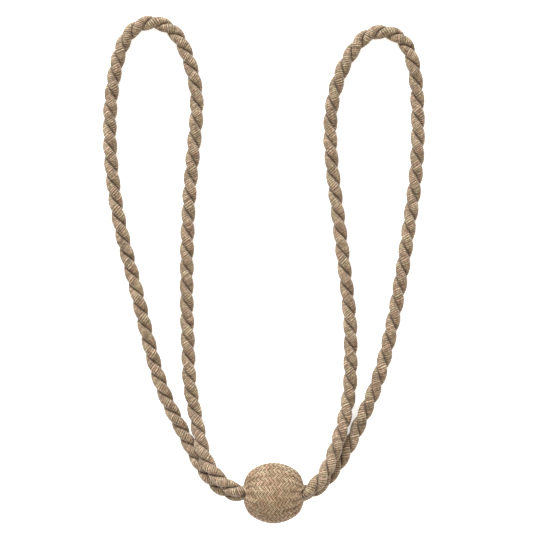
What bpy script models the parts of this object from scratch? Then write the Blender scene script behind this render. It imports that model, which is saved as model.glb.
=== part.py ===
# Curtain tieback: a ball with a laid rope loop on each side, lying on a surface at z = 0.
# Metres, +Z up. The origin is the middle of the ball's flat spot, +Y points to the loops' far bends.

import math

import bmesh
import bpy
import numpy as np
from mathutils import Vector

# Ball
BALL_DIAMETER = 0.050
BALL_FLAT_DEPTH = 0.0006      # what the flat spot takes off the ball's underside
BALL_SEGMENTS = 36            # round the bore
BALL_RINGS = 20               # from mouth to mouth

# Rope: two strands laid in S direction, pressed against each other
ROPE_DIAMETER = 0.0120        # over the crests of both strands
STRAND_BREADTH = 0.0090       # one strand, measured round the rope
GROOVE_DIAMETER = 0.0060      # between the bottoms of the two grooves
STEPS_PER_LAY = 9             # sections in one full turn of the strands
NOMINAL_LAY = 0.030           # length of one full turn
CREST_ANGLES = (-105, -50, 0, 50, 105)   # section points on a strand, in degrees from its crest

# Bore through the ball, along X, which holds a loop's two legs one above the other
CLEARANCE = 0.0003
BORE_SIDES = 12               # steps on each round end of the bore
UPPER_LEG = (0.0010, 0.0310)  # y and z of the upper leg in the ball
LOWER_LEG = (-0.0016, 0.0186)

# Routes of the ropes' centrelines in millimetres (x, y, z), from the upper leg in the ball,
# round the loop's far bend and back to the lower leg in the ball
MILLIMETRE = 0.001
ROPE_HEIGHT = 5.6             # a rope's axis where it lies on the surface

LEFT_ROUTE = [
    (-0.2, 1, 31), (-12, 1, 31), (-24, 1.2, 31), (-33, 3.8, 30), (-43, 10.3, 27), (-51.6, 19.9, 22.6),
    (-57.6, 31.6, 18), (-61.2, 46, 13), (-64.3, 60, 8.6), (-67, 74, 6.2), (-69.5, 88, ROPE_HEIGHT),
    (-70.7, 108, ROPE_HEIGHT), (-71.8, 140, ROPE_HEIGHT), (-71.6, 212, ROPE_HEIGHT),
    (-69.2, 255, ROPE_HEIGHT), (-65, 300, ROPE_HEIGHT), (-64.2, 329, ROPE_HEIGHT),
    (-67.5, 348, ROPE_HEIGHT), (-73, 364.5, ROPE_HEIGHT), (-81, 379, ROPE_HEIGHT),
    (-94.5, 388, ROPE_HEIGHT), (-110, 387, ROPE_HEIGHT), (-122, 376.5, ROPE_HEIGHT),
    (-128.5, 361, ROPE_HEIGHT), (-134.5, 330, ROPE_HEIGHT), (-136, 292, ROPE_HEIGHT),
    (-133.5, 258, ROPE_HEIGHT), (-127, 218, ROPE_HEIGHT), (-117, 178, ROPE_HEIGHT),
    (-107, 137, ROPE_HEIGHT), (-97, 99, ROPE_HEIGHT), (-87, 72, ROPE_HEIGHT), (-80, 58, ROPE_HEIGHT),
    (-73, 44.5, 5.8), (-66, 31, 7.2), (-58.1, 17.8, 10), (-48.5, 6.8, 14.2), (-37, -0.3, 17.5),
    (-24, -1.8, 18.5), (-0.2, -1.6, 18.6),
]

RIGHT_ROUTE = [
    (0.2, 1, 31), (12, 1, 31), (23, 1.1, 31), (31.4, 4.6, 29.9), (38.6, 12, 27.2), (45.4, 22.8, 22.6),
    (51.5, 37.8, 17.3), (56.5, 52.5, 12.2), (60.3, 68, 7.8), (63, 84, ROPE_HEIGHT), (63.8, 106, ROPE_HEIGHT),
    (63.5, 138, ROPE_HEIGHT), (60.5, 170, ROPE_HEIGHT), (52.5, 236, ROPE_HEIGHT),
    (48.5, 270, ROPE_HEIGHT), (47, 302, ROPE_HEIGHT), (49.3, 325, ROPE_HEIGHT),
    (56.5, 348.5, ROPE_HEIGHT), (65.6, 365.2, ROPE_HEIGHT), (77.3, 377.6, ROPE_HEIGHT),
    (92, 381, ROPE_HEIGHT), (107, 374, ROPE_HEIGHT), (114.6, 359, ROPE_HEIGHT),
    (119.4, 320, ROPE_HEIGHT), (119.5, 286, ROPE_HEIGHT), (116.8, 252, ROPE_HEIGHT),
    (112, 217, ROPE_HEIGHT), (106, 178, ROPE_HEIGHT), (98, 136, ROPE_HEIGHT), (89, 100, ROPE_HEIGHT),
    (80, 75, ROPE_HEIGHT), (74.1, 61.8, ROPE_HEIGHT), (67.3, 46.8, 5.8), (60.1, 33.3, 7),
    (52, 20.6, 9.8), (43.3, 9.5, 13.6), (34.3, 2, 16.8), (25.5, -1.2, 18.4), (15, -1.6, 18.6),
    (0.2, -1.6, 18.6),
]

# Twist of the strands: full turns reached at a distance in millimetres along each rope.
# The turns draw closer round the far bend.
LEFT_TWIST = [
    (0, 0.32), (148, 5.25), (298, 10.25), (390, 13.25), (448, 15.25), (502, 17.25),
    (591, 20.25), (758, 25.75), (914, 31.0),
]
RIGHT_TWIST = [
    (0, 0.27), (137, 4.75), (292, 9.75), (399, 13.25), (429, 14.25), (471, 15.75), (502, 16.75),
    (580, 19.25), (734, 24.25), (886, 29.2),
]

BALL_COLOUR = (0.40, 0.28, 0.18)
ROPE_COLOUR = (0.31, 0.23, 0.16)
CLOTH_ROUGHNESS = 0.85


def clear_scene():
    for old in list(bpy.data.objects):
        bpy.data.objects.remove(old, do_unlink=True)


def cloth_material(name, colour):
    material = bpy.data.materials.new(name)
    material.use_nodes = True
    shader = material.node_tree.nodes["Principled BSDF"]
    shader.inputs["Base Color"].default_value = (*colour, 1.0)
    shader.inputs["Roughness"].default_value = CLOTH_ROUGHNESS
    shader.inputs["Metallic"].default_value = 0.0
    return material


def add_object(name, bm, material, parent):
    mesh = bpy.data.meshes.new(name)
    bm.to_mesh(mesh)
    bm.free()
    piece = bpy.data.objects.new(name, mesh)
    bpy.context.collection.objects.link(piece)
    piece.data.materials.append(material)
    piece.data.shade_smooth()
    piece.data.set_sharp_from_angle(angle=math.radians(60))
    piece.parent = parent
    return piece


def natural_spline(knots, values, at):
    # Smooth curve through (knot, value) rows, straight at both ends, read at the given places
    knots = np.asarray(knots, float)
    values = np.asarray(values, float)
    count = len(knots)
    gaps = np.diff(knots)
    slopes = np.diff(values, axis=0) / gaps.reshape([-1] + [1] * (values.ndim - 1))
    system = np.eye(count)
    target = np.zeros_like(values)
    for i in range(1, count - 1):
        system[i, i - 1] = gaps[i - 1]
        system[i, i] = 2 * (gaps[i - 1] + gaps[i])
        system[i, i + 1] = gaps[i]
        target[i] = 6 * (slopes[i] - slopes[i - 1])
    bends = np.linalg.solve(system, target)
    cell = np.clip(np.searchsorted(knots, at) - 1, 0, count - 2)
    shape = [-1] + [1] * (values.ndim - 1)
    left = (knots[cell + 1] - at).reshape(shape)
    right = (at - knots[cell]).reshape(shape)
    gap = gaps[cell].reshape(shape)
    return (
        bends[cell] * left ** 3 / (6 * gap)
        + bends[cell + 1] * right ** 3 / (6 * gap)
        + (values[cell] / gap - bends[cell] * gap / 6) * left
        + (values[cell + 1] / gap - bends[cell + 1] * gap / 6) * right
    )


def rope_centreline(route):
    # Evenly spaced points along the smooth curve through the route, and the distance of each
    corners = np.array(route, float) * MILLIMETRE
    chords = np.concatenate([[0], np.cumsum(np.linalg.norm(np.diff(corners, axis=0), axis=1))])
    fine = natural_spline(chords, corners, np.linspace(0, chords[-1], 4000))
    reach = np.concatenate([[0], np.cumsum(np.linalg.norm(np.diff(fine, axis=0), axis=1))])
    steps = round(reach[-1] / NOMINAL_LAY * STEPS_PER_LAY)
    distance = np.linspace(0, reach[-1], steps + 1)
    points = np.stack([np.interp(distance, reach, fine[:, axis]) for axis in range(3)], axis=1)
    return points, distance


def rope_section():
    # Outline of the two strands side by side: x through both crests, y across the grooves
    half = ROPE_DIAMETER / 4
    outline = []
    for side in (1, -1):
        for angle in CREST_ANGLES:
            turn = math.radians(angle)
            outline.append((side * half * (1 + math.cos(turn)), side * STRAND_BREADTH / 2 * math.sin(turn)))
        outline.append((0.0, side * GROOVE_DIAMETER / 2))
    return outline


def rope_loop(name, route, twist, material, parent):
    points, distance = rope_centreline(route)
    marks = np.array(twist, float)
    turns = natural_spline(marks[:, 0] * MILLIMETRE, marks[:, 1], distance)
    outline = rope_section()
    up = Vector((0, 0, 1))
    bm = bmesh.new()
    rings = []
    for i, point in enumerate(points):
        ahead = points[min(i + 1, len(points) - 1)]
        behind = points[max(i - 1, 0)]
        along = Vector(ahead - behind).normalized()
        right = along.cross(up).normalized()
        top = right.cross(along)
        angle = 2 * math.pi * turns[i]
        crest = right * math.cos(angle) + top * math.sin(angle)
        side = top * math.cos(angle) - right * math.sin(angle)
        ring = []
        for x, y in outline:
            place = Vector(point) + crest * x + side * y
            place.z = max(place.z, 0.0)
            ring.append(bm.verts.new(place))
        rings.append(ring)
    for ring, following in zip(rings, rings[1:]):
        for j in range(len(outline)):
            k = (j + 1) % len(outline)
            bm.faces.new((ring[j], ring[k], following[k], following[j]))
    bm.faces.new(rings[0])
    bm.faces.new(rings[-1])
    bmesh.ops.recalc_face_normals(bm, faces=bm.faces)
    return add_object(name, bm, material, parent)


def bore_cutter(material, parent):
    # Straight slot along X with round ends, wide enough for both legs
    radius = (ROPE_DIAMETER / 2 + CLEARANCE) / math.cos(math.pi / (2 * BORE_SIDES))
    upper = Vector((0, *UPPER_LEG))
    lower = Vector((0, *LOWER_LEG))
    lift = (upper - lower).normalized()
    across = lift.cross(Vector((1, 0, 0)))
    bm = bmesh.new()
    outline = []
    for centre, sign in ((upper, 1), (lower, -1)):
        for step in range(BORE_SIDES + 1):
            turn = math.pi * step / BORE_SIDES
            reach = across * math.cos(turn) + lift * math.sin(turn)
            outline.append(bm.verts.new(centre + reach * (sign * radius) - Vector((BALL_DIAMETER, 0, 0))))
    face = bm.faces.new(outline)
    extruded = bmesh.ops.extrude_face_region(bm, geom=[face])
    moved = [item for item in extruded["geom"] if isinstance(item, bmesh.types.BMVert)]
    bmesh.ops.translate(bm, verts=moved, vec=(2 * BALL_DIAMETER, 0, 0))
    bmesh.ops.recalc_face_normals(bm, faces=bm.faces)
    cutter = add_object("bore_cutter", bm, material, parent)
    cutter.hide_render = True
    cutter.display_type = "WIRE"
    return cutter


def ball(material, parent):
    # The sphere's poles lie on X, where the bore takes them away
    centre_height = BALL_DIAMETER / 2 - BALL_FLAT_DEPTH
    bm = bmesh.new()
    bmesh.ops.create_uvsphere(
        bm, u_segments=BALL_SEGMENTS, v_segments=BALL_RINGS, radius=BALL_DIAMETER / 2)
    for vert in bm.verts:
        vert.co = Vector((vert.co.z, vert.co.y, -vert.co.x))
    everything = bm.verts[:] + bm.edges[:] + bm.faces[:]
    cut = bmesh.ops.bisect_plane(
        bm, geom=everything, plane_co=(0, 0, -centre_height), plane_no=(0, 0, -1), clear_outer=True)
    rim = [item for item in cut["geom_cut"] if isinstance(item, bmesh.types.BMEdge)]
    bmesh.ops.edgenet_fill(bm, edges=rim)
    bmesh.ops.recalc_face_normals(bm, faces=bm.faces)
    piece = add_object("ball", bm, material, parent)
    piece.location = (0, 0, centre_height)
    bore = piece.modifiers.new("bore", "BOOLEAN")
    bore.operation = "DIFFERENCE"
    bore.solver = "EXACT"
    bore.object = bore_cutter(material, parent)
    return piece


clear_scene()
tieback = bpy.data.objects.new("tieback", None)
bpy.context.collection.objects.link(tieback)
ball(cloth_material("ball cover", BALL_COLOUR), tieback)
rope_material = cloth_material("rope", ROPE_COLOUR)
rope_loop("rope_loop_left", LEFT_ROUTE, LEFT_TWIST, rope_material, tieback)
rope_loop("rope_loop_right", RIGHT_ROUTE, RIGHT_TWIST, rope_material, tieback)
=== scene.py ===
import math

import bpy
import numpy as np
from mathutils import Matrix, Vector


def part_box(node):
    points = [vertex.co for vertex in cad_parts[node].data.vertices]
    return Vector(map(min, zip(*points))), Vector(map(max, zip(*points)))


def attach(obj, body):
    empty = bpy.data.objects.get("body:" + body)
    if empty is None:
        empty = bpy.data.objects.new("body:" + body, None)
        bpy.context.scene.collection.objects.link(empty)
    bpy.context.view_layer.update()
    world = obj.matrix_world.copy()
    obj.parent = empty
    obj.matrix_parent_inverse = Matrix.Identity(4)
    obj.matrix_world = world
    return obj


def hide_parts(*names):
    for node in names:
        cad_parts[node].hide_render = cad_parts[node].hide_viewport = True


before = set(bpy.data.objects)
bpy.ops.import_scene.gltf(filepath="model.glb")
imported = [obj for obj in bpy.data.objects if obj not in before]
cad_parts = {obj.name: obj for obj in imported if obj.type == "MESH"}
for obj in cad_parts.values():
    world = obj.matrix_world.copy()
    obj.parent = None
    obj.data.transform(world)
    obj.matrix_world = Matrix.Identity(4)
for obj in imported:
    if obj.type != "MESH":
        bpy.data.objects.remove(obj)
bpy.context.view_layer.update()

# Camera: straight above the tieback, as in a studio shot from overhead
cameraSettings = {
    "height": 2.0,                # above the surface it lies on
    "centre": (-0.0030, 0.1833),
    "viewWidth": 0.4482,          # what the picture's width covers at the rope's height
    "ropeHeight": 0.006,
    "sensor": 36.0,
    "clip": (0.1, 10.0),
}


def makeCamera(settings):
    data = bpy.data.cameras.new("overhead")
    data.sensor_width = settings["sensor"]
    reach = settings["height"] - settings["ropeHeight"]
    data.lens = settings["sensor"] * reach / settings["viewWidth"]
    data.clip_start, data.clip_end = settings["clip"]
    camera = bpy.data.objects.new("overhead", data)
    camera.location = (*settings["centre"], settings["height"])
    bpy.context.collection.objects.link(camera)
    bpy.context.scene.camera = camera


makeCamera(cameraSettings)
print("camera ready")

# Rope centrelines in metres, from the upper leg in the ball round the far bend to the lower leg.
# They repeat the solids' own routes.
ropeHeight = 0.0056

leftRoute = [
    (-0.0002, 0.001, 0.031), (-0.012, 0.001, 0.031), (-0.024, 0.0012, 0.031), (-0.033, 0.0038, 0.030),
    (-0.043, 0.0103, 0.027), (-0.0516, 0.0199, 0.0226), (-0.0576, 0.0316, 0.018), (-0.0612, 0.046, 0.013),
    (-0.0643, 0.060, 0.0086), (-0.067, 0.074, 0.0062), (-0.0695, 0.088, ropeHeight),
    (-0.0707, 0.108, ropeHeight), (-0.0718, 0.140, ropeHeight), (-0.0716, 0.212, ropeHeight),
    (-0.0692, 0.255, ropeHeight), (-0.065, 0.300, ropeHeight), (-0.0642, 0.329, ropeHeight),
    (-0.0675, 0.348, ropeHeight), (-0.073, 0.3645, ropeHeight), (-0.081, 0.379, ropeHeight),
    (-0.0945, 0.388, ropeHeight), (-0.110, 0.387, ropeHeight), (-0.122, 0.3765, ropeHeight),
    (-0.1285, 0.361, ropeHeight), (-0.1345, 0.330, ropeHeight), (-0.136, 0.292, ropeHeight),
    (-0.1335, 0.258, ropeHeight), (-0.127, 0.218, ropeHeight), (-0.117, 0.178, ropeHeight),
    (-0.107, 0.137, ropeHeight), (-0.097, 0.099, ropeHeight), (-0.087, 0.072, ropeHeight),
    (-0.080, 0.058, ropeHeight), (-0.073, 0.0445, 0.0058), (-0.066, 0.031, 0.0072),
    (-0.0581, 0.0178, 0.010), (-0.0485, 0.0068, 0.0142), (-0.037, -0.0003, 0.0175),
    (-0.024, -0.0018, 0.0185), (-0.0002, -0.0016, 0.0186),
]

rightRoute = [
    (0.0002, 0.001, 0.031), (0.012, 0.001, 0.031), (0.023, 0.0011, 0.031), (0.0314, 0.0046, 0.0299),
    (0.0386, 0.012, 0.0272), (0.0454, 0.0228, 0.0226), (0.0515, 0.0378, 0.0173), (0.0565, 0.0525, 0.0122),
    (0.0603, 0.068, 0.0078), (0.063, 0.084, ropeHeight), (0.0638, 0.106, ropeHeight),
    (0.0635, 0.138, ropeHeight), (0.0605, 0.170, ropeHeight), (0.0525, 0.236, ropeHeight),
    (0.0485, 0.270, ropeHeight), (0.047, 0.302, ropeHeight), (0.0493, 0.325, ropeHeight),
    (0.0565, 0.3485, ropeHeight), (0.0656, 0.3652, ropeHeight), (0.0773, 0.3776, ropeHeight),
    (0.092, 0.381, ropeHeight), (0.107, 0.374, ropeHeight), (0.1146, 0.359, ropeHeight),
    (0.1194, 0.320, ropeHeight), (0.1195, 0.286, ropeHeight),
    (0.1168, 0.252, ropeHeight), (0.112, 0.217, ropeHeight), (0.106, 0.178, ropeHeight),
    (0.098, 0.136, ropeHeight), (0.089, 0.100, ropeHeight), (0.080, 0.075, ropeHeight),
    (0.0741, 0.0618, ropeHeight), (0.0673, 0.0468, 0.0058), (0.0601, 0.0333, 0.007), (0.052, 0.0206, 0.0098),
    (0.0433, 0.0095, 0.0136), (0.0343, 0.002, 0.0168), (0.0255, -0.0012, 0.0184),
    (0.015, -0.0016, 0.0186), (0.0002, -0.0016, 0.0186),
]

# Full turns of the strands reached at a distance in metres along each rope
leftTwist = [
    (0, 0.32), (0.148, 5.25), (0.298, 10.25), (0.390, 13.25), (0.448, 15.25), (0.502, 17.25),
    (0.591, 20.25), (0.758, 25.75), (0.914, 31.0),
]
rightTwist = [
    (0, 0.27), (0.137, 4.75), (0.292, 9.75), (0.399, 13.25), (0.429, 14.25), (0.471, 15.75),
    (0.502, 16.75), (0.580, 19.25), (0.734, 24.25), (0.886, 29.2),
]

# Rope: two strands, each wound all over with fine thread
ropeSettings = {
    "diameter": 0.012,            # over both strands
    "strandOffset": 0.0030,       # strand's middle from the rope's middle
    "strandDepth": 0.0058,        # strand's size across the rope
    "strandBreadth": 0.0076,      # strand's size round the rope
    "strandPress": 0.0003,        # added to each strand's inner side, so that the two press together
    "windingPitch": 0.0013,       # from one turn of thread to the next, on average
    "pitchSpread": 0.7,           # how much the turns differ in width, as a share
    "windingDepth": 0.0005,       # from a turn's crest to the dip beside it
    "depthSpread": 0.9,
    "windingLean": 0.14,          # slant of a turn: step along the strand for each step across it
    "ridgeProfile": (1.0, 0.4, -1.0, 0.4),   # crest, flank, dip, flank
    "sides": 12,
    "dipShade": 1.0,             # painted shade in the dips between turns, from 0 to 1
    "grooveShade": 1.0,          # and painted shade in the groove between the strands
    "grooveShadeReach": (0.4, 0.75),   # where the groove's painted shade starts and is darkest, 0 outside to 1 inside
    "fineStep": 0.0004,           # between points of the curve that the strands follow
    "nearBall": 20,               # the rope leaves the ball within this many centreline points
    "centreStep": 0.003,          # between points of the centreline
}


def naturalSpline(knots, values, at):
    # smooth curve through the rows, straight at both ends
    knots = np.asarray(knots, float)
    values = np.asarray(values, float)
    count = len(knots)
    gaps = np.diff(knots)
    slopes = np.diff(values, axis=0) / gaps.reshape([-1] + [1] * (values.ndim - 1))
    system = np.eye(count)
    target = np.zeros_like(values)
    for i in range(1, count - 1):
        system[i, i - 1] = gaps[i - 1]
        system[i, i] = 2 * (gaps[i - 1] + gaps[i])
        system[i, i + 1] = gaps[i]
        target[i] = 6 * (slopes[i] - slopes[i - 1])
    bends = np.linalg.solve(system, target)
    cell = np.clip(np.searchsorted(knots, at) - 1, 0, count - 2)
    shape = [-1] + [1] * (values.ndim - 1)
    left = (knots[cell + 1] - at).reshape(shape)
    right = (at - knots[cell]).reshape(shape)
    gap = gaps[cell].reshape(shape)
    return (
        bends[cell] * left ** 3 / (6 * gap)
        + bends[cell + 1] * right ** 3 / (6 * gap)
        + (values[cell] / gap - bends[cell] * gap / 6) * left
        + (values[cell + 1] / gap - bends[cell + 1] * gap / 6) * right
    )


def distanceAlong(points):
    return np.concatenate([[0], np.cumsum(np.linalg.norm(np.diff(points, axis=0), axis=1))])


def rowsAt(at, distance, rows):
    return np.stack([np.interp(at, distance, rows[:, axis]) for axis in range(3)], axis=1)


def routeCurve(route, step, samples=12000):
    # evenly spaced points on the smooth curve through the route, and the distance of each
    corners = np.array(route, float)
    chords = distanceAlong(corners)
    points = naturalSpline(chords, corners, np.linspace(0, chords[-1], samples))
    reach = distanceAlong(points)
    distance = np.linspace(0, reach[-1], round(reach[-1] / step) + 1)
    return rowsAt(distance, reach, points), distance


def unit(vectors):
    return vectors / np.linalg.norm(vectors, axis=-1, keepdims=True)


def rise(values, first, last):
    # 0 up to first, 1 from last on
    return np.clip((values - first) / (last - first), 0, 1)


def crossAxes(centre, outward):
    # directions along, outward and across at each point of a line, square to each other
    forward = unit(np.gradient(centre, axis=0))
    outward = unit(outward - forward * np.sum(outward * forward, axis=1, keepdims=True))
    return forward, outward, np.cross(forward, outward)


def sectionAngles(sides):
    # share of the way round a thread for each side, and its angle, from the inner side
    share = (np.arange(sides) + 0.5) / sides
    return share, 2 * math.pi * share + math.pi


def threadMarks(turn, share, strand):
    # the thread attribute of a tube, by ring and side
    return np.stack(np.broadcast_arrays(turn[:, None], share[None], float(strand)), axis=-1)


def aboveSurface(points):
    # nothing goes below the surface that the tieback lies on
    points[..., 2] = np.maximum(points[..., 2], 0.0)
    return points


def addMesh(name, points, faces):
    mesh = bpy.data.meshes.new(name)
    mesh.from_pydata(points.tolist(), [], faces)
    mesh.shade_smooth()
    piece = bpy.data.objects.new(name, mesh)
    bpy.context.collection.objects.link(piece)
    return piece


def tubeFaces(rings, sides, first):
    # quads between rings of a closed tube, whose first vertex has the given number
    ring = np.arange(rings - 1)[:, None] * sides
    side = np.arange(sides)[None, :]
    following = (side + 1) % sides
    quads = np.stack([ring + side, ring + following, ring + sides + following, ring + sides + side], axis=-1)
    return quads.reshape(-1, 4) + first


def meshFromTubes(name, tubes):
    # tubes holds (points, thread, painted shade) for each tube, by ring and side; both ends are closed
    # thread is the turns or repeats so far, the share of the way round and the strand's number
    # painted shade is 0 on a crest and 1 deep between threads, where shade falls
    vertices, faces, threads, paintedShades = [], [], [], []
    first = 0
    for points, thread, paintedShade in tubes:
        rings, sides = points.shape[:2]
        vertices.append(points.reshape(-1, 3))
        threads.append(thread.reshape(-1, 3))
        paintedShades.append(paintedShade.reshape(-1))
        faces.extend(tubeFaces(rings, sides, first).tolist())
        faces.append([first + side for side in reversed(range(sides))])
        faces.append([first + (rings - 1) * sides + side for side in range(sides)])
        first += rings * sides
    piece = addMesh(name, np.concatenate(vertices), faces)
    attribute = piece.data.attributes.new("thread", "FLOAT_VECTOR", "POINT")
    attribute.data.foreach_set("vector", np.concatenate(threads).astype(np.float32).ravel())
    attribute = piece.data.attributes.new("paintedShade", "FLOAT", "POINT")
    attribute.data.foreach_set("value", np.concatenate(paintedShades).astype(np.float32))
    return piece


def strandMiddle(route, twist, settings, side):
    # a strand's middle line round the rope's own, and at each point the direction away from that
    fine, distance = routeCurve(route, settings["fineStep"])
    marks = np.array(twist, float)
    angle = 2 * math.pi * naturalSpline(marks[:, 0], marks[:, 1], distance)
    along = unit(np.gradient(fine, axis=0))
    right = unit(np.cross(along, (0, 0, 1)))
    top = np.cross(right, along)
    outward = side * (right * np.cos(angle)[:, None] + top * np.sin(angle)[:, None])
    return fine + outward * settings["strandOffset"], outward


def threadTurns(length, settings, random):
    # turns of thread, of uneven width and height, and for each ring of the tube its turn,
    # its place along the strand and its height, about 1 on a crest and -1 in a dip
    turns = round(length / settings["windingPitch"])
    widths = 1 + settings["pitchSpread"] * (random.random(turns) - 0.5)
    edges = np.concatenate([[0], np.cumsum(widths)]) / widths.sum() * length
    phases = len(settings["ridgeProfile"])
    turn = np.arange(turns * phases + 1) / phases
    place = np.interp(turn, np.arange(turns + 1), edges)
    strength = 1 + settings["depthSpread"] * (random.random(turns + 2) - 0.5)
    profile = np.resize(settings["ridgeProfile"], len(turn)) * strength[np.round(turn).astype(int)]
    return turn, place, profile


def strandTube(route, twist, settings, side, random):
    # one strand, with a ridge for each turn of its thread
    middle, outward = strandMiddle(route, twist, settings, side)
    reach = distanceAlong(middle)
    turn, place, profile = threadTurns(reach[-1], settings, random)
    ridge = 0.5 * settings["windingDepth"] * profile
    centre = rowsAt(place, reach, middle)
    forward, outward, across = crossAxes(centre, unit(rowsAt(place, reach, outward)))
    share, section = sectionAngles(settings["sides"])
    inner = np.cos(section)[None] < 0
    depth = settings["strandDepth"] / 2 + np.where(inner, settings["strandPress"], ridge[:, None])
    sideways = np.sin(section) * (settings["strandBreadth"] / 2 + ridge[:, None])
    points = (
        centre[:, None]
        + outward[:, None] * (np.cos(section) * depth)[..., None]
        + across[:, None] * sideways[..., None]
        + forward[:, None] * (sideways * settings["windingLean"])[..., None]
    )
    # painted shade: darker in the dips between turns and in the groove between the strands
    dip = 0.5 - 0.5 * profile
    groove = rise(np.abs(share - 0.5) * 2, *settings["grooveShadeReach"]) ** 2
    paintedShade = np.clip(settings["dipShade"] * dip[:, None] + settings["grooveShade"] * groove[None], 0, 1)
    return aboveSurface(points), threadMarks(turn, share, side), paintedShade


def makeRope(name, node, route, twist, settings, seed):
    random = np.random.default_rng(seed)
    piece = meshFromTubes(name, [strandTube(route, twist, settings, side, random) for side in (1, -1)])
    centreline, distance = routeCurve(route, settings["centreStep"])
    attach(piece, "root")
    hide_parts(node)
    print(name, "is", round(float(distance[-1]), 3), "m long")
    return piece


leftRope = makeRope("rope_left_strands", "rope_loop_left", leftRoute, leftTwist, ropeSettings, seed=11)
rightRope = makeRope("rope_right_strands", "rope_loop_right", rightRoute, rightTwist, ropeSettings, seed=23)
print("ropes ready")

# Ball: a round form in a tubular braided cover of paired yarns, which runs into both mouths
ballSettings = {
    "radius": 0.025,
    "mouthHalfWidth": 0.0066,     # across the two legs, along Y
    "mouthHalfHeight": 0.0127,    # along the two legs' stack, along Z
    "pairs": 38,                  # of yarns, in each of the two directions
    "pairing": 0.87,              # how near a pair's yarns lie, 1 for evenly spaced yarns
    "slope": 1.27,                # round the ball for each step along the bore
    "twist": 0.04,                # of the whole cover, likewise
    "start": -0.022,              # the cover's place round the bore, in radians
    "yarnThickness": 0.0010,
    "yarnCover": 0.8,             # a yarn's width as a share of its room
    "wave": 0.0006,               # how far a yarn goes out and in
    "stepsPerCrossing": 3.8,      # rings of a yarn's tube from one crossed pair to the next
    "sides": 8,
    "tuck": 0.20,                 # how far into the mouth the yarns run, in radians
    "tuckSlope": 0.004,           # how fast they go inwards there, in metres for each radian
    "tuckBend": 0.12,             # and for each radian squared
    "crowdReach": 0.35,           # from the mouth's edge, where the yarns crowd and thin, in radians
    "thinnest": 0.5,              # least share of a yarn's thickness that is left there
    "lip": 0.0004,                # how far the gathered yarns stand out at the mouth
    "lipWidth": 0.1,              # in radians
    "shoulder": 0.062,            # how much fuller than round the ball is towards its ends, as a share
    "shoulderPlace": 0.6,         # angle from the bore's axis where it is fullest
    "shoulderWidth": 0.42,        # in radians
    "formGap": 0.0012,            # how far the form's surface lies below the cover's
    "underShade": 1.0,           # painted shade on a yarn where it runs under, from 0 to 1
    "edgeShade": 0.95,           # and painted shade towards the gap between pairs
    "pairShade": 1.0,            # and painted shade between a pair's two yarns
    "underShadeGain": 1.5,             # how soon a yarn that runs under gets its full painted shade
    "edgeShadeReach": (0.2, 0.8),      # where the painted shade towards that gap starts and is darkest, 0 mid-yarn to 1 at its side
    "pairShadeReach": (0.3, 0.7),      # and the same between a pair's two yarns
    "repeat": 4,                  # crossed pairs after which the over and under comes again
    "shift": 0.125,               # of the over and under along a yarn, in repeats
}
formSettings = {
    "columns": 64,                # round the bore
    "rows": 48,                   # from mouth to mouth
    "boreRows": 6,
}
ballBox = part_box("ball")
ballCentre = np.array([0.0, 0.0, float(ballBox[1][2]) - ballSettings["radius"]])


def mouthAngle(around, settings):
    # angle from the bore's axis at which the mouth's edge lies, for a direction round that axis
    wide = np.cos(around) / settings["mouthHalfWidth"]
    high = np.sin(around) / settings["mouthHalfHeight"]
    return np.arcsin(1 / np.sqrt(wide ** 2 + high ** 2) / settings["radius"])


def plainMouthAngle(settings):
    # the same for a round mouth of average size
    return math.asin(0.5 * (settings["mouthHalfWidth"] + settings["mouthHalfHeight"]) / settings["radius"])


def ballPoint(polar, around, radius, settings):
    # polar runs evenly from mouth to mouth, and this fits it between the two oval mouths
    plain = plainMouthAngle(settings)
    edge = mouthAngle(around, settings)
    share = (polar - plain) / (math.pi - 2 * plain)
    real = edge + share * (math.pi - 2 * edge)
    fromFull = (np.minimum(real, math.pi - real) - settings["shoulderPlace"]) / settings["shoulderWidth"]
    radius = radius * (1 + settings["shoulder"] * np.exp(-fromFull ** 2))
    return np.stack([
        -radius * np.cos(real),
        radius * np.sin(real) * np.cos(around),
        radius * np.sin(real) * np.sin(around),
    ], axis=-1)


def yarnPath(number, direction, polar, settings):
    # a yarn's place round the bore, and how many times its over and under has come again
    pairs = settings["pairs"]
    fromMiddle = polar - math.pi / 2
    beside = (0.5 if number % 2 else -0.5) * settings["pairing"] * math.pi / pairs
    around = 2 * math.pi * (number // 2) / pairs + beside + direction * settings["slope"] * fromMiddle
    crossed = pairs * (around - beside / 2) / math.pi             # pairs of the other direction so far
    repeats = crossed / settings["repeat"] - settings["shift"] + (0 if direction > 0 else 0.5)
    return around + settings["start"] + settings["twist"] * fromMiddle, repeats


def yarnRadius(polar, plain, wave, settings):
    # a yarn stands out round the mouths and is tucked inside them
    inside = np.maximum(0, np.maximum(plain - polar, polar - (math.pi - plain)))
    fromEdge = np.minimum(np.abs(polar - plain), np.abs(polar - (math.pi - plain)))
    lip = settings["lip"] * np.exp(-(fromEdge / settings["lipWidth"]) ** 2)
    base = settings["radius"] - settings["wave"] - settings["yarnThickness"] / 2
    tucked = settings["tuckSlope"] * inside + settings["tuckBend"] * inside ** 2
    return base + wave + lip - tucked


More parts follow.
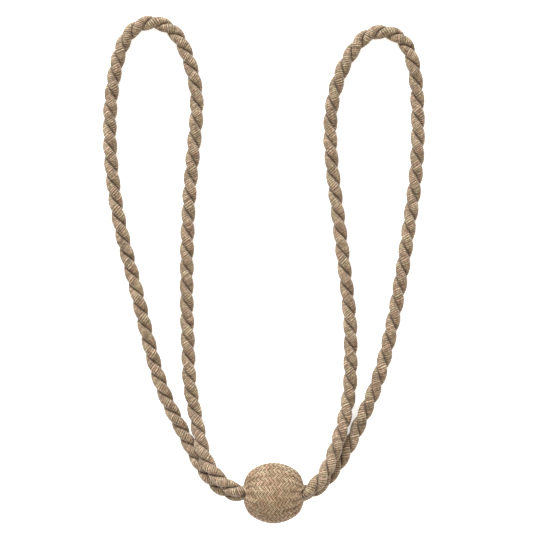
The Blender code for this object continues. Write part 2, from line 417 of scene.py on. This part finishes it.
def coverYarn(number, direction, settings):
    # each pair goes over two pairs of the other direction and under the next two
    pairs, slope = settings["pairs"], settings["slope"]
    plain = plainMouthAngle(settings)
    start, end = plain - settings["tuck"], math.pi - plain + settings["tuck"]
    steps = round((end - start) / (math.pi / pairs / slope) * settings["stepsPerCrossing"])
    polar = np.linspace(start, end, steps + 1)
    around, repeats = yarnPath(number, direction, polar, settings)
    over = np.sin(math.pi / 2 * np.cos(2 * math.pi * repeats))    # 1 on top, -1 below
    crowding = np.clip(np.sin(polar) / math.sin(plain + settings["crowdReach"]), settings["thinnest"], 1)
    radius = yarnRadius(polar, plain, settings["wave"] * crowding * over, settings)
    centre = ballPoint(polar, around, radius, settings)
    above = ballPoint(polar, around, radius + settings["yarnThickness"], settings)
    _, outward, across = crossAxes(centre, unit(above - centre))
    ring = np.hypot(centre[:, 1], centre[:, 2])
    room = math.pi * ring / pairs * np.cos(np.arctan(slope * ring / settings["radius"]))
    share, section = sectionAngles(settings["sides"])
    thickness = settings["yarnThickness"] * crowding[:, None]
    width = settings["yarnCover"] * room[:, None]
    points = (
        ballCentre
        + centre[:, None]
        + outward[:, None] * (np.cos(section) * thickness / 2)[..., None]
        + across[:, None] * (np.sin(section) * width / 2)[..., None]
    )
    thread = threadMarks(repeats, share, number + (0 if direction > 0 else 2 * pairs))
    # painted shade: darker where a yarn runs under, towards the gap between pairs and between a pair's two
    # yarns
    under = settings["underShade"] * np.clip(-settings["underShadeGain"] * over, 0, 1)
    outer = np.sin(section) * (1 if number % 2 else -1)       # towards the next pair
    edge = settings["edgeShade"] * rise(outer, *settings["edgeShadeReach"])
    middle = settings["pairShade"] * rise(-outer, *settings["pairShadeReach"])
    paintedShade = np.clip(under[:, None] + (edge + middle)[None], 0, 1)
    return aboveSurface(points), thread, paintedShade


def makeCover(name, direction, settings):
    yarns = 2 * settings["pairs"]
    piece = meshFromTubes(name, [coverYarn(number, direction, settings) for number in range(yarns)])
    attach(piece, "root")
    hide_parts("ball")
    return piece


def makeForm(name, settings, grid):
    # round form under the cover, open at both mouths, closed by the bore's wall
    columns = grid["columns"]
    around = 2 * math.pi * np.arange(columns) / columns
    plain = plainMouthAngle(settings)
    radius = settings["radius"] - settings["formGap"]
    rings = [ballPoint(np.full(columns, polar), around, radius, settings)
             for polar in np.linspace(plain, math.pi - plain, grid["rows"])]
    first, last = rings[0], rings[-1]
    for share in np.linspace(0, 1, grid["boreRows"] + 2)[1:-1]:
        rings.append(last * (1 - share) + first * share)
    points = aboveSurface(np.array(rings) + ballCentre)
    faces = []
    for row in range(len(rings)):
        after = (row + 1) % len(rings)
        for column in range(columns):
            beside = (column + 1) % columns
            faces.append((row * columns + column, row * columns + beside,
                          after * columns + beside, after * columns + column))
    piece = addMesh(name, points.reshape(-1, 3), faces)
    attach(piece, "root")
    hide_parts("ball")
    return piece


coverOne = makeCover("ball_cover_yarns_s", 1, ballSettings)
coverTwo = makeCover("ball_cover_yarns_z", -1, ballSettings)
ballForm = makeForm("ball_form", ballSettings, formSettings)
print("ball ready")

# Materials
toneSettings = {
    "streakDetail": 2.0,
    "patchDetail": 3.0,
    "fibreScale": 2600.0,
    "fibreDetail": 2.0,
    "turnTint": 0.25,             # shares of the tint that come from the turn,
    "streakTint": 0.5,            # the streaks
    "patchTint": 0.25,            # and the patches
}


def threadToneGroup(settings):
    # tone of spun thread: each turn or yarn has its own tone, with streaks along the fibres,
    # and painted shade makes it darker deep between threads
    group = bpy.data.node_groups.new("thread tone", "ShaderNodeTree")
    socket = group.interface.new_socket
    for name in ("Crest Tone", "Turn Spread", "Streaks", "Patches", "Patch Scale", "Painted Shade Depth"):
        socket(name=name, in_out="INPUT", socket_type="NodeSocketFloat")
    socket(name="Streak Scale", in_out="INPUT", socket_type="NodeSocketVector")
    for name in ("Tone", "Tint", "Fibre"):
        socket(name=name, in_out="OUTPUT", socket_type="NodeSocketFloat")
    nodes, links = group.nodes, group.links
    given = nodes.new("NodeGroupInput")
    result = nodes.new("NodeGroupOutput")
    thread = nodes.new("ShaderNodeAttribute")
    thread.attribute_name = "thread"
    split = nodes.new("ShaderNodeSeparateXYZ")
    links.new(thread.outputs["Vector"], split.inputs[0])

    def maths(operation, *values):
        node = nodes.new("ShaderNodeMath")
        node.operation = operation
        for socketIn, value in zip(node.inputs, values):
            if isinstance(value, (int, float)):
                socketIn.default_value = value
            else:
                links.new(value, socketIn)
        return node.outputs[0]

    turn = maths("ROUND", split.outputs[0])
    key = nodes.new("ShaderNodeCombineXYZ")
    links.new(turn, key.inputs[0])
    links.new(split.outputs[2], key.inputs[1])
    perTurn = nodes.new("ShaderNodeTexWhiteNoise")
    perTurn.noise_dimensions = "2D"
    links.new(key.outputs[0], perTurn.inputs["Vector"])
    paintedShade = nodes.new("ShaderNodeAttribute")
    paintedShade.attribute_name = "paintedShade"
    hue = nodes.new("ShaderNodeSeparateColor")
    links.new(perTurn.outputs["Color"], hue.inputs[0])
    stretch = nodes.new("ShaderNodeVectorMath")
    stretch.operation = "MULTIPLY"
    links.new(thread.outputs["Vector"], stretch.inputs[0])
    links.new(given.outputs["Streak Scale"], stretch.inputs[1])
    streaks = nodes.new("ShaderNodeTexNoise")
    streaks.inputs["Scale"].default_value = 1.0
    streaks.inputs["Detail"].default_value = settings["streakDetail"]
    links.new(stretch.outputs[0], streaks.inputs["Vector"])
    streakHue = nodes.new("ShaderNodeSeparateColor")
    links.new(streaks.outputs["Color"], streakHue.inputs[0])
    place = nodes.new("ShaderNodeTexCoord")
    patches = nodes.new("ShaderNodeTexNoise")
    patches.inputs["Detail"].default_value = settings["patchDetail"]
    links.new(place.outputs["Object"], patches.inputs["Vector"])
    links.new(given.outputs["Patch Scale"], patches.inputs["Scale"])
    fibre = nodes.new("ShaderNodeTexNoise")
    fibre.inputs["Scale"].default_value = settings["fibreScale"]
    fibre.inputs["Detail"].default_value = settings["fibreDetail"]
    links.new(place.outputs["Object"], fibre.inputs["Vector"])
    tone = given.outputs["Crest Tone"]
    for source, amount in ((perTurn.outputs["Value"], "Turn Spread"), (streaks.outputs["Fac"], "Streaks"),
                           (patches.outputs["Fac"], "Patches")):
        centred = maths("SUBTRACT", source, 0.5)
        tone = maths("ADD", tone, maths("MULTIPLY", centred, given.outputs[amount]))
    # painted shade: the tone drops deep between threads, where shade falls
    tone = maths("SUBTRACT", tone, maths("MULTIPLY", paintedShade.outputs["Fac"], given.outputs["Painted Shade Depth"]))
    turnTint = maths("MULTIPLY", hue.outputs["Green"], settings["turnTint"])
    streakTint = maths("MULTIPLY", streakHue.outputs["Green"], settings["streakTint"])
    patchTint = maths("MULTIPLY", patches.outputs["Fac"], settings["patchTint"])
    tint = maths("ADD", maths("ADD", turnTint, streakTint), patchTint)
    links.new(tone, result.inputs["Tone"])
    links.new(tint, result.inputs["Tint"])
    links.new(fibre.outputs["Fac"], result.inputs["Fibre"])
    return group


yarnSettings = {
    "shadeStops": (0.1, 0.9),     # tones at which the dark and the light colour are reached
    "tintStops": (0.3, 0.7),      # and the rosy and the olive tint
    "roughSpread": 0.1,
    "bumpHeight": 0.0002,         # of the finest fibres
    "sheenRoughness": 0.5,
    "specular": 0.4,
}


def yarnMaterial(name, look, group, settings):
    material = bpy.data.materials.new(name)
    material.use_nodes = True
    nodes, links = material.node_tree.nodes, material.node_tree.links
    shader = nodes["Principled BSDF"]
    tone = nodes.new("ShaderNodeGroup")
    tone.node_tree = group
    for socketIn in tone.inputs:
        socketIn.default_value = look[socketIn.name]

    def ramp(source, low, middle, high, first, last):
        node = nodes.new("ShaderNodeValToRGB")
        stops = node.color_ramp.elements
        stops[0].position, stops[0].color = first, (*low, 1)
        stops[1].position, stops[1].color = last, (*high, 1)
        stops.new((first + last) / 2).color = (*middle, 1)
        links.new(source, node.inputs["Fac"])
        return node.outputs["Color"]

    shade = ramp(tone.outputs["Tone"], look["dark"], look["middle"], look["light"], *settings["shadeStops"])
    tint = ramp(tone.outputs["Tint"], look["rosy"], (1, 1, 1), look["olive"], *settings["tintStops"])
    dyed = nodes.new("ShaderNodeMix")
    dyed.data_type = "RGBA"
    dyed.blend_type = "MULTIPLY"
    dyed.inputs["Factor"].default_value = 1.0
    links.new(shade, dyed.inputs["A"])
    links.new(tint, dyed.inputs["B"])
    links.new(dyed.outputs["Result"], shader.inputs["Base Color"])
    rough = nodes.new("ShaderNodeMapRange")
    rough.inputs["To Min"].default_value = look["roughness"] - settings["roughSpread"]
    rough.inputs["To Max"].default_value = look["roughness"] + settings["roughSpread"]
    links.new(tone.outputs["Fibre"], rough.inputs["Value"])
    links.new(rough.outputs["Result"], shader.inputs["Roughness"])
    bump = nodes.new("ShaderNodeBump")
    bump.inputs["Strength"].default_value = look["bump"]
    bump.inputs["Distance"].default_value = settings["bumpHeight"]
    links.new(tone.outputs["Fibre"], bump.inputs["Height"])
    links.new(bump.outputs["Normal"], shader.inputs["Normal"])
    shader.inputs["Sheen Weight"].default_value = look["sheen"]
    shader.inputs["Sheen Roughness"].default_value = settings["sheenRoughness"]
    shader.inputs["Specular IOR Level"].default_value = settings["specular"]
    return material


# Streak Scale is how fast the streaks change along a strand or yarn, round it and between two
# the depth entry in each look is how far painted shade darkens the tone deep between threads
ropeLook = {
    "dark": (0.066, 0.037, 0.017), "middle": (0.273, 0.193, 0.120), "light": (0.63, 0.50, 0.36),
    "rosy": (1.14, 0.93, 0.90), "olive": (0.93, 1.0, 0.82),
    "Crest Tone": 0.62, "Turn Spread": 0.2, "Streaks": 1.1, "Patches": 0.3, "Patch Scale": 150.0,
    "Streak Scale": (1.3, 16.0, 7.3), "Painted Shade Depth": 0.75,
    "roughness": 0.6, "bump": 0.5, "sheen": 0.25,
}
coverLook = {
    "dark": (0.06, 0.027, 0.008), "middle": (0.38, 0.252, 0.137), "light": (0.89, 0.72, 0.53),
    "rosy": (1.18, 0.91, 0.86), "olive": (0.92, 1.0, 0.82),
    "Crest Tone": 0.99, "Turn Spread": 0.3, "Streaks": 0.75, "Patches": 0.35, "Patch Scale": 140.0,
    "Streak Scale": (14.0, 2.0, 7.3), "Painted Shade Depth": 1.55,
    "roughness": 0.5, "bump": 0.5, "sheen": 0.15,
}
formLook = {
    "dark": (0.05, 0.03, 0.015), "middle": (0.09, 0.055, 0.03), "light": (0.14, 0.09, 0.05),
    "rosy": (1, 1, 1), "olive": (1, 1, 1),
    "Crest Tone": 0.4, "Turn Spread": 0.0, "Streaks": 0.0, "Patches": 0.8, "Patch Scale": 300.0,
    "Streak Scale": (1, 1, 1), "Painted Shade Depth": 0.0,
    "roughness": 0.8, "bump": 0.3, "sheen": 0.0,
}
toneGroup = threadToneGroup(toneSettings)
for name, look, pieces in (("rope gimp", ropeLook, (leftRope, rightRope)),
                           ("cover braid", coverLook, (coverOne, coverTwo)),
                           ("ball form", formLook, (ballForm,))):
    material = yarnMaterial(name, look, toneGroup, yarnSettings)
    for piece in pieces:
        piece.data.materials.append(material)
print("materials ready")

# Floor and light
studio = {
    "floorColour": (0.93, 0.93, 0.93),
    "floorGlow": 0.5,             # the floor is a lit panel, as under product shots
    "floorReach": 6.0,            # half the floor's width
    "floorDrop": 0.0001,          # under the part, so that the two don't share a plane
    "floorRoughness": 0.9,
    "worldColour": (1.0, 0.94, 0.84),
    "worldStrength": 0.86,
    "aim": (0.0, 0.18, 0.0),
    # each light's power, place, width and colour
    "lights": {
        "key": (430.0, (-1.3, 4.2, 2.6), 2.4, (0.91, 0.97, 1.0)),
        "fill": (2.5, (0.2, -0.5, 1.1), 0.5, (1.0, 1.0, 1.0)),
    },
}


def makeFloor(settings):
    corners = np.array([(-1, -1, 0), (1, -1, 0), (1, 1, 0), (-1, 1, 0)]) * settings["floorReach"]
    floor = addMesh("floor", corners, [(0, 1, 2, 3)])
    floor.location.z = -settings["floorDrop"]
    material = bpy.data.materials.new("pale floor")
    material.use_nodes = True
    shader = material.node_tree.nodes["Principled BSDF"]
    shader.inputs["Base Color"].default_value = (*settings["floorColour"], 1)
    shader.inputs["Roughness"].default_value = settings["floorRoughness"]
    shader.inputs["Emission Color"].default_value = (1, 1, 1, 1)
    shader.inputs["Emission Strength"].default_value = settings["floorGlow"]
    floor.data.materials.append(material)


def makeLight(settings):
    world = bpy.data.worlds.new("studio")
    world.use_nodes = True
    background = world.node_tree.nodes["Background"]
    background.inputs["Color"].default_value = (*settings["worldColour"], 1)
    background.inputs["Strength"].default_value = settings["worldStrength"]
    bpy.context.scene.world = world
    bpy.context.scene.view_settings.view_transform = "Standard"
    for name, (energy, place, size, colour) in settings["lights"].items():
        data = bpy.data.lights.new(name, "AREA")
        data.energy = energy
        data.size = size
        data.color = colour
        light = bpy.data.objects.new(name, data)
        light.location = place
        aim = Vector(settings["aim"]) - light.location
        light.rotation_euler = aim.to_track_quat("-Z", "Y").to_euler()
        bpy.context.collection.objects.link(light)


makeFloor(studio)
makeLight(studio)
print("floor and light ready")
